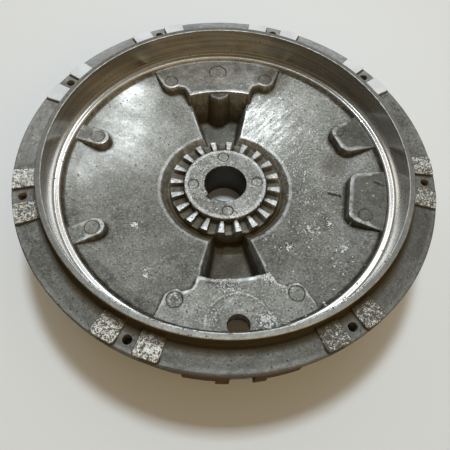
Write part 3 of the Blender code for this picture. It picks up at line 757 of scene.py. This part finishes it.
def casting_surface():
    """The casting's closed skin on a grid of section rows and columns."""
    row_r, row_z, face = section_rows()
    turns = column_turns()
    r = np.repeat(row_r[:, None], COLUMNS, 1)
    z = np.repeat(row_z[:, None], COLUMNS, 1)
    f = np.repeat(turns[None, :], len(row_r), 0)
    top, under = face == 1, face == -1
    bore = (row_r < 11.3) & (row_z < 21.0)
    under &= ~bore & (row_r > 20.6)
    z[top] = upper_face(r[top], f[top], z[top])
    z[under] = lower_face(r[under], f[under], z[under])
    x, y = turn_xy(r, f)
    verts = np.stack([x, y, z], -1).reshape(-1, 3) * MM
    rows, cols = len(row_r), COLUMNS
    i, j = np.meshgrid(np.arange(rows), np.arange(cols), indexing="ij")
    k, m = (i + 1) % rows, (j + 1) % cols
    quads = np.stack([i * cols + j, k * cols + j, k * cols + m, i * cols + m], -1).reshape(-1, 4)
    mesh = bpy.data.meshes.new("flywheel_casting_visual")
    mesh.vertices.add(len(verts))
    mesh.vertices.foreach_set("co", verts.ravel())
    mesh.loops.add(quads.size)
    mesh.loops.foreach_set("vertex_index", quads.ravel().astype(np.int32))
    mesh.polygons.add(len(quads))
    mesh.polygons.foreach_set("loop_start", np.arange(0, quads.size, 4, dtype=np.int32))
    mesh.update(calc_edges=True)
    for name, values in surface_masks(r, f, z, row_r, face, turns).items():
        layer = mesh.attributes.new(name, "FLOAT", "POINT")
        layer.data.foreach_set("value", np.clip(values, 0, 1).astype(np.float32).ravel())
    made = bpy.data.objects.new("flywheel_casting_visual", mesh)
    scene.collection.objects.link(made)
    return made


def cutter(name, outlines):
    """An object of closed straight-sided solids, each given as (outline, bottom, top) in mm."""
    bm = bmesh.new()
    for outline, bottom, top in outlines:
        low = [bm.verts.new((px * MM, py * MM, bottom * MM)) for px, py in outline]
        high = [bm.verts.new((px * MM, py * MM, top * MM)) for px, py in outline]
        bm.faces.new(low)
        bm.faces.new(high[::-1])
        for n in range(len(low)):
            o = (n + 1) % len(low)
            bm.faces.new((low[o], low[n], high[n], high[o]))
    bmesh.ops.recalc_face_normals(bm, faces=bm.faces)
    mesh = bpy.data.meshes.new(name)
    bm.to_mesh(mesh)
    bm.free()
    made = bpy.data.objects.new(name, mesh)
    scene.collection.objects.link(made)
    return made


def ring_of(circle, turn, radius, steps=48):
    """Outline of a round hole whose middle is on a circle round the axis."""
    cx, cy = turn_xy(circle, turn)
    offsets = (turn_xy(radius, 360.0 * n / steps + 1.3) for n in range(steps))
    return [(cx + ox, cy + oy) for ox, oy in offsets]


def sector(inner, outer, start, end, steps=24):
    """Outline of a piece of a ring between two turns."""
    return arc(outer, start, end, steps) + arc(inner, end, start, steps)


def keyway():
    """Outline of the keyway, from inside the bore to its floor."""
    sx, sy = turn_xy(KEYWAY_HALF_WIDTH, KEYWAY_TURN + 90)
    ax, ay = turn_xy(6.0, KEYWAY_TURN)
    bx, by = turn_xy(KEYWAY_RADIUS, KEYWAY_TURN)
    return [(ax + sx, ay + sy), (ax - sx, ay - sy), (bx - sx, by - sy), (bx + sx, by + sy)]


def casting_cutters():
    """Groups of solids that are cut away; the solids of one group stay apart from each other."""
    first = [(ring_of(HOLE_CIRCLE, s * lug, HOLE_RADIUS), 32.0, 44.0) for lug in LUGS for s in (1, -1)]
    first.append((ring_of(*BALANCE_HOLE, BALANCE_HOLE_RADIUS, 64), 21.5, 40.0))
    first.append((keyway(), -1.0, 23.0))
    toes = []
    for hand in (1, -1):
        near = MAGNET_TURN + hand * (SHOE_NEAR_TURN - SHOE_GAP_TURN)
        far = MAGNET_TURN + hand * (SHOE_FAR_TURN + SHOE_GAP_TURN)
        toe = MAGNET_TURN + hand * (SHOE_TOE_TURN + SHOE_GAP_TURN)
        first.append((sector(92.9, 102.6, near, far), 22.0, 36.0))
        toes.append((sector(92.8, 103.0, near + hand * 0.05, toe), 15.9, 22.4))
    half = MAGNET_HALF_TURN + SHOE_GAP_TURN
    behind = [(sector(88.5, 93.4, MAGNET_TURN - half, MAGNET_TURN + half), 19.7, 34.3)]
    return [first, toes, behind]


def cut(target, groups):
    """Takes the groups of solids out of the target, and leaves a plain mesh."""
    helpers = []
    for n, group in enumerate(groups):
        helper = cutter(f"casting_cutter_{n}", group)
        modifier = target.modifiers.new(helper.name, "BOOLEAN")
        modifier.operation = "DIFFERENCE"
        modifier.solver = "MANIFOLD"
        modifier.object = helper
        helpers.append(helper)
    bpy.context.view_layer.update()
    evaluated = target.evaluated_get(bpy.context.evaluated_depsgraph_get())
    finished = bpy.data.meshes.new_from_object(evaluated)
    old = target.data
    target.modifiers.clear()
    target.data = finished
    bpy.data.meshes.remove(old)
    finished.name = target.name
    for helper in helpers:
        bpy.data.objects.remove(helper)


casting = casting_surface()
cut(casting, casting_cutters())
casting.data.polygons.foreach_set("use_smooth", np.ones(len(casting.data.polygons), bool))
casting.data.set_sharp_from_angle(angle=math.radians(38))


# ---- materials
class Nodes:
    """A node tree whose nodes are made by short calls; most calls return an output socket."""

    def __init__(self, tree):
        self.tree = tree

    def make(self, kind, values=(), **settings):
        made = self.tree.nodes.new(kind)
        for key, value in settings.items():
            setattr(made, key, value)
        for key, value in dict(values).items():
            self.put(made.inputs[key], value)
        return made

    def put(self, socket, value):
        if isinstance(value, bpy.types.NodeSocket):
            self.tree.links.new(value, socket)
        elif isinstance(value, tuple) and socket.type == "RGBA":
            socket.default_value = (*value, 1.0)
        else:
            socket.default_value = value

    def calc(self, operation, a, b=0.0, clamp=False):
        return self.make("ShaderNodeMath", {0: a, 1: b}, operation=operation, use_clamp=clamp).outputs[0]

    def chain(self, operation, first, *others):
        for other in others:
            first = self.calc(operation, first, other)
        return first

    def add(self, *parts):
        return self.chain("ADD", *parts)

    def times(self, *parts):
        return self.chain("MULTIPLY", *parts)

    def most(self, *parts):
        return self.chain("MAXIMUM", *parts)

    def span(self, value, low, high, out_low=0.0, out_high=1.0):
        """Maps value from low..high to out_low..out_high, clamped, with soft ends."""
        made = self.make("ShaderNodeMapRange", interpolation_type="SMOOTHSTEP")
        for index, number in enumerate((value, low, high, out_low, out_high)):
            self.put(made.inputs[index], number)
        return made.outputs[0]

    def blend(self, share, a, b):
        """Colour a where the share is 0, b where it is 1."""
        return self.make("ShaderNodeMix", {0: share, 6: a, 7: b}, data_type="RGBA").outputs[2]

    def between(self, share, a, b):
        """Number a where the share is 0, b where it is 1."""
        return self.make("ShaderNodeMix", {0: share, 2: a, 3: b}, data_type="FLOAT").outputs[0]


class Graph(Nodes):
    """A Principled material in the object's own coordinates."""

    def __init__(self, name):
        self.material = bpy.data.materials.new(name)
        self.material.use_nodes = True
        super().__init__(self.material.node_tree)
        self.shader = self.tree.nodes["Principled BSDF"]
        self.place = self.make("ShaderNodeTexCoord").outputs["Object"]

    def noise(self, size, detail=3.0, roughness=0.55, vector=None, distortion=0.0):
        """Noise whose features are about size mm across."""
        values = {"Vector": vector or self.place, "Scale": 1000.0 / size, "Detail": detail}
        values.update(Roughness=roughness, Distortion=distortion)
        return self.make("ShaderNodeTexNoise", values).outputs["Fac"]

    def cells(self, size):
        """Distance to the nearest of scattered points about size mm apart."""
        values = {"Vector": self.place, "Scale": 1000.0 / size, "Randomness": 1.0}
        return self.make("ShaderNodeTexVoronoi", values).outputs["Distance"]

    def mask(self, name):
        return self.make("ShaderNodeAttribute", attribute_name=name).outputs["Fac"]

    def turned(self):
        """Coordinates in which noise becomes fine lines around the wheel's axis."""
        x, y, z = self.make("ShaderNodeSeparateXYZ", {0: self.place}).outputs
        radius = self.calc("SQRT", self.add(self.times(x, x), self.times(y, y)))
        along = self.times(self.calc("ARCTAN2", x, y), 0.0016)
        return self.make("ShaderNodeCombineXYZ", {0: radius, 1: z, 2: along}).outputs[0]

    def finish(self, colour, roughness, metallic, height, bump, strength=1.0):
        """Joins the looks to the shader; the bump's height is in mm."""
        bumps = {"Height": height, "Distance": bump * MM, "Strength": strength}
        normal = self.make("ShaderNodeBump", bumps).outputs[0]
        looks = {"Base Color": colour, "Roughness": roughness, "Metallic": metallic, "Normal": normal}
        for key, value in looks.items():
            self.put(self.shader.inputs[key], value)
        return self.material


# each pair is the darkest and the lightest tone of a surface
CAST_SKIN = (0.054, 0.049, 0.040), (0.230, 0.216, 0.187)
# polished skin, also the tone of painted sheen
POLISHED_AND_SHEEN_SKIN = (0.150, 0.143, 0.129), (0.276, 0.262, 0.236)
MACHINED = (0.49, 0.465, 0.42), (0.66, 0.63, 0.575)
FILM = (0.125, 0.108, 0.078), (0.235, 0.212, 0.165)
PAD_CRUST = (0.66, 0.64, 0.58), (0.84, 0.83, 0.80)
WHITE_PAD = (0.60, 0.60, 0.595), (0.69, 0.69, 0.685)
HOLE = (0.13, 0.115, 0.09), (0.30, 0.27, 0.215)
FLECK = (0.92, 0.92, 0.90)
# the next three tones also serve as painted shade, painted highlight, and painted highlight on machined metal
DARK_METAL_AND_SHADE = (0.070, 0.065, 0.053)
WORN_AND_HIGHLIGHT_METAL = (0.62, 0.61, 0.58)
MACHINED_HIGHLIGHT = (0.93, 0.92, 0.89)
CHALK = (0.74, 0.73, 0.69)
PIT = (0.10, 0.092, 0.075)
PINHOLE = (0.05, 0.048, 0.04)
PAD_VEIN = (0.090, 0.085, 0.070)
# brown stain that also serves as brown painted shade, then painted shade with grime
BROWN_STAIN_AND_SHADE = (0.040, 0.025, 0.004)
SHADE_AND_GRIME_TONE = (0.040, 0.034, 0.024)


def metal_colour(g, m, n):
    """Colour of the cast skin, of its polished parts and painted sheen, its dark parts and painted shade, its
    worn parts and painted highlights, of machined metal with its painted highlight, and of dull film.
    """
    tone = g.add(g.times(n.blotch, 0.35), g.times(n.mottle, 0.45), g.times(n.grain, 0.45))
    cast = g.blend(g.span(tone, 0.42, 0.84), *CAST_SKIN)
    # polished skin, brighter as painted sheen
    colour = g.blend(m.polish, cast, g.blend(g.span(tone, 0.42, 0.8), *POLISHED_AND_SHEEN_SKIN))
    flecks = g.add(g.times(n.grain, 0.6), g.times(n.grit, 0.55), g.times(n.mottle, 0.5))
    flecks = g.times(g.span(flecks, 0.90, 1.02), g.calc("ADD", m.speckle, 0.14, True))
    colour = g.blend(flecks, colour, FLECK)
    # darker metal, and painted shade in the bore and on the flange's front
    colour = g.blend(g.times(m.dark, 0.72), colour, DARK_METAL_AND_SHADE)
    # worn metal, with painted highlights and sheen
    colour = g.blend(g.times(m.worn, 0.55), colour, WORN_AND_HIGHLIGHT_METAL)
    steel = g.blend(g.span(n.lines, 0.35, 0.65), *MACHINED)
    # painted highlight and reflection brighten the machined metal
    steel = g.blend(g.times(m.polish, 0.8), steel, MACHINED_HIGHLIGHT)
    colour = g.blend(m.machined, colour, steel)
    return g.blend(m.film, colour, g.blend(g.span(n.mottle, 0.4, 0.62), *FILM))


def casting_material():
    """Cast aluminium with white corrosion, pitted pads, brown stain, grime, painted shade and painted sheen
    over the metal.
    """
    g = Graph("casting_aluminium")
    n = SimpleNamespace(
        blotch=g.noise(15.0, 4.0),
        mottle=g.noise(3.2, 5.0, 0.65),
        grain=g.noise(0.9, 3.0, 0.6),
        grit=g.noise(0.42, 2.0, 0.6),
        pores=g.cells(2.6),
        lines=g.noise(1.0, 2.0, 0.6, g.turned()),
    )
    m = SimpleNamespace(**{name: g.mask(name) for name in MASKS})
    colour = metal_colour(g, m, n)

    # white corrosion, with dark pits where it has eaten in, and pinholes in the skin
    chalk = g.add(g.times(n.grain, 0.9), g.times(n.grit, 0.5), g.times(n.mottle, 0.35))
    chalk = g.span(g.add(chalk, g.times(m.white, 0.62)), 1.09, 1.24)
    chalk = g.times(chalk, g.span(m.white, 0.03, 0.2))
    colour = g.blend(chalk, colour, CHALK)
    eaten = g.span(g.add(n.grit, g.times(n.grain, 0.6)), 0.80, 0.70)
    eaten = g.times(eaten, g.span(m.white, 0.16, 0.5))
    colour = g.blend(g.times(eaten, 0.85), colour, PIT)
    pinholes = g.times(g.span(n.pores, 0.17, 0.10), g.span(n.blotch, 0.44, 0.54))
    colour = g.blend(g.times(pinholes, 0.8), colour, PINHOLE)

    # flange pads: a pale crust over the white share of each, and all of it on the whole ones
    corroded = g.span(m.pad, 0.02, 0.05)
    veins = g.noise(1.25, 6.0, 0.78, distortion=0.7)
    veins = g.add(veins, g.times(g.calc("SUBTRACT", n.grit, 0.5), 0.5))
    limit = g.calc("SUBTRACT", 0.70, g.times(m.pad, 0.42))
    crust = g.span(veins, g.calc("SUBTRACT", limit, 0.03), g.calc("ADD", limit, 0.04))
    whole = g.span(m.pad, 0.9, 0.98)
    crust = g.most(crust, whole)
    pale = g.blend(g.span(n.mottle, 0.35, 0.65), *PAD_CRUST)
    pale = g.blend(whole, pale, g.blend(g.span(n.blotch, 0.4, 0.6), *WHITE_PAD))
    colour = g.blend(corroded, colour, g.blend(crust, PAD_VEIN, pale))

    # brown stain with brown painted shade
    stain_and_shade = g.calc("ADD", m.brown, g.times(g.calc("SUBTRACT", n.mottle, 0.5), 0.5))
    stain_and_shade = g.times(stain_and_shade, g.span(m.brown, 0.0, 0.15))
    colour = g.blend(g.calc("MULTIPLY", stain_and_shade, 0.93, True), colour, BROWN_STAIN_AND_SHADE)
    # painted shade and grime darken the colour
    colour = g.blend(g.calc("MULTIPLY", m.grime, 0.9, True), colour, SHADE_AND_GRIME_TONE)
    # faces that were cut through the skin, such as the holes, have no masks of their own
    colour = g.blend(m.skin, g.blend(g.span(n.mottle, 0.4, 0.6), *HOLE), colour)

    g.shader.inputs["Specular IOR Level"].default_value = 0.22
    rough = g.between(g.span(n.mottle, 0.35, 0.65), 0.50, 0.62)
    rough = g.between(m.polish, rough, g.between(n.mottle, 0.34, 0.46))
    rough = g.between(m.machined, rough, g.between(n.lines, 0.16, 0.28))
    dull = g.most(chalk, g.most(g.times(stain_and_shade, 0.9), m.grime))
    dull = g.most(dull, m.film, g.calc("SUBTRACT", 1.0, m.skin))
    dull = g.calc("MAXIMUM", dull, corroded, True)
    rough = g.between(dull, rough, 0.78)
    metal = g.calc("SUBTRACT", 1.0, g.times(dull, 0.85), True)
    smooth = g.calc("SUBTRACT", 1.0, g.most(g.times(m.machined, 0.92), g.times(m.polish, 0.65)), True)
    height = g.add(
        g.times(n.grain, smooth, 0.9),
        g.times(n.grit, smooth, 0.5),
        g.times(n.mottle, smooth, 0.8),
        g.times(n.lines, m.machined, 0.20),
        g.times(pinholes, -1.2),
        g.times(corroded, crust, 1.2),
        g.times(eaten, -1.4),
    )
    return g.finish(colour, rough, metal, height, 0.10, 0.8)


def steel_material(name, tones, rust, rust_amount, roughness):
    """Worn steel with rust that gathers in patches."""
    g = Graph(name)
    patches = g.noise(4.0, 5.0, 0.65)
    grain = g.noise(0.8, 4.0, 0.65)
    streaks = g.noise(0.5, 3.0, 0.6, g.turned())
    colour = g.blend(g.span(g.add(g.times(grain, 0.6), g.times(streaks, 0.5)), 0.4, 0.7), *tones)
    rusty = g.span(g.add(patches, g.times(grain, 0.4)), 0.95 - rust_amount, 1.1 - rust_amount)
    rust_tone = g.blend(g.span(grain, 0.35, 0.65), tuple(c * 0.5 for c in rust), rust)
    colour = g.blend(rusty, colour, rust_tone)
    rough = g.between(rusty, g.between(streaks, roughness, roughness + 0.15), 0.85)
    metal = g.calc("SUBTRACT", 1.0, g.times(rusty, 0.9), True)
    height = g.add(g.times(grain, 0.6), g.times(rusty, 0.6), g.times(streaks, 0.3))
    g.shader.inputs["Specular IOR Level"].default_value = 0.25
    return g.finish(colour, rough, metal, height, 0.08)


casting.data.materials.clear()
casting.data.materials.append(casting_material())
# dark and light tone, rust, how much of it, roughness of the steel
lamination = steel_material(
    "lamination_steel", ((0.034, 0.022, 0.011), (0.10, 0.070, 0.038)), (0.085, 0.042, 0.013), 0.5, 0.5
)
magnet = steel_material(
    "magnet_alloy", ((0.05, 0.05, 0.055), (0.12, 0.12, 0.125)), (0.10, 0.05, 0.02), 0.12, 0.5
)
rivets = steel_material(
    "rivet_steel", ((0.20, 0.19, 0.17), (0.42, 0.40, 0.37)), (0.15, 0.065, 0.022), 0.25, 0.38
)
for name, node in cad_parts.items():
    if name == "flywheel_casting":
        continue
    chosen = magnet if "magnet" in name else rivets if "rivet" in name else lamination
    node.data.materials.clear()
    node.data.materials.append(chosen)

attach(casting, "root")
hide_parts("flywheel_casting")

# ---- floor, light and camera
FLOOR = 9
floor_mesh = bpy.data.meshes.new("floor")
corners = [(-FLOOR, -FLOOR, 0), (FLOOR, -FLOOR, 0), (FLOOR, FLOOR, 0), (-FLOOR, FLOOR, 0)]
floor_mesh.from_pydata(corners, [], [(0, 1, 2, 3)])
floor = bpy.data.objects.new("floor", floor_mesh)
floor.location.z = -0.0004
scene.collection.objects.link(floor)
pale = bpy.data.materials.new("floor_pale")
pale.use_nodes = True
pale_inputs = pale.node_tree.nodes["Principled BSDF"].inputs
pale_inputs["Base Color"].default_value = (0.69, 0.69, 0.68, 1)
pale_inputs["Roughness"].default_value = 0.5
floor_mesh.materials.append(pale)

# the room's light: low at the sides, warm in front, pale above; the camera sees a plain backdrop
SIDE_LIGHT = (0.06, 0.044, 0.026)
FRONT_LIGHT = (1.36, 1.05, 0.60)
HIGH_LIGHT = (0.22, 0.216, 0.205)
BACKDROP = (0.70, 0.70, 0.69)
FRONT_WAY = (0.50, -0.866, 0.0)
HIGH_WAY = (0.05, 0.70, 0.71)


def room_light():
    """The world: the room's light, mixed by direction, and the backdrop."""
    world = bpy.data.worlds.new("room")
    world.use_nodes = True
    sky = Nodes(world.node_tree)
    direction = sky.make("ShaderNodeTexCoord").outputs["Generated"]

    def along(way):
        made = sky.make("ShaderNodeVectorMath", {0: direction, 1: way}, operation="DOT_PRODUCT")
        return made.outputs["Value"]

    warmth = sky.make("ShaderNodeMapRange", {0: along(FRONT_WAY), 1: 0.05, 2: 0.85}).outputs[0]
    low_light = sky.blend(warmth, SIDE_LIGHT, FRONT_LIGHT)
    light = sky.blend(sky.span(along(HIGH_WAY), -0.05, 0.85), low_light, HIGH_LIGHT)
    seen = sky.make("ShaderNodeLightPath").outputs["Is Camera Ray"]
    background = world.node_tree.nodes["Background"]
    sky.put(background.inputs["Color"], sky.blend(seen, light, BACKDROP))
    background.inputs["Strength"].default_value = 1.0
    return world


def area_light(name, place, aim, size, power, colour):
    """A rectangular light at a place, turned towards its aim."""
    data = bpy.data.lights.new(name, "AREA")
    data.shape = "RECTANGLE"
    data.size, data.size_y = size
    data.energy = power
    data.color = colour
    made = bpy.data.objects.new(name, data)
    scene.collection.objects.link(made)
    made.location = place
    made.rotation_mode = "QUATERNION"
    made.rotation_quaternion = (Vector(aim) - Vector(place)).to_track_quat("-Z", "Y")


scene.world = room_light()
area_light("skylight", (0.02, 0.25, 0.87), (0, 0, 0.02), (0.13, 0.13), 5.4, (0.80, 0.91, 1.0))
area_light("window", (0.34, 0.56, 0.90), (0, 0, 0.02), (0.6, 0.5), 1.1, (0.93, 0.96, 1.0))
area_light("left_window", (-0.44, 0.72, 0.92), (-0.05, 0, 0.03), (0.5, 0.4), 0.8, (1.0, 0.98, 0.95))

# the camera's own axes, from where it stands, what it looks at and its roll
RIGHT = Vector((0.99015, -0.14004, 0.0)).normalized()
LOOK_AT = Vector((-3.455, -36.08, 42.0)) * MM
CAMERA_AT = Vector((-17.12, -132.7, 221.04)) * MM
ROLL = math.radians(4.81)
forward = (LOOK_AT - CAMERA_AT).normalized()
up = RIGHT.cross(forward).normalized()
axis_x = RIGHT * math.cos(ROLL) + up * math.sin(ROLL)
axis_y = up * math.cos(ROLL) - RIGHT * math.sin(ROLL)
camera_data = bpy.data.cameras.new("camera")
camera_data.lens = 36.0
camera_data.sensor_width = 36.0
camera_data.clip_start = 0.01
camera = bpy.data.objects.new("camera", camera_data)
turn_camera = Matrix((axis_x, axis_y, -forward)).transposed().to_4x4()
camera.matrix_world = Matrix.Translation(CAMERA_AT) @ turn_camera
scene.collection.objects.link(camera)
scene.camera = camera
scene.view_settings.view_transform = "Standard"
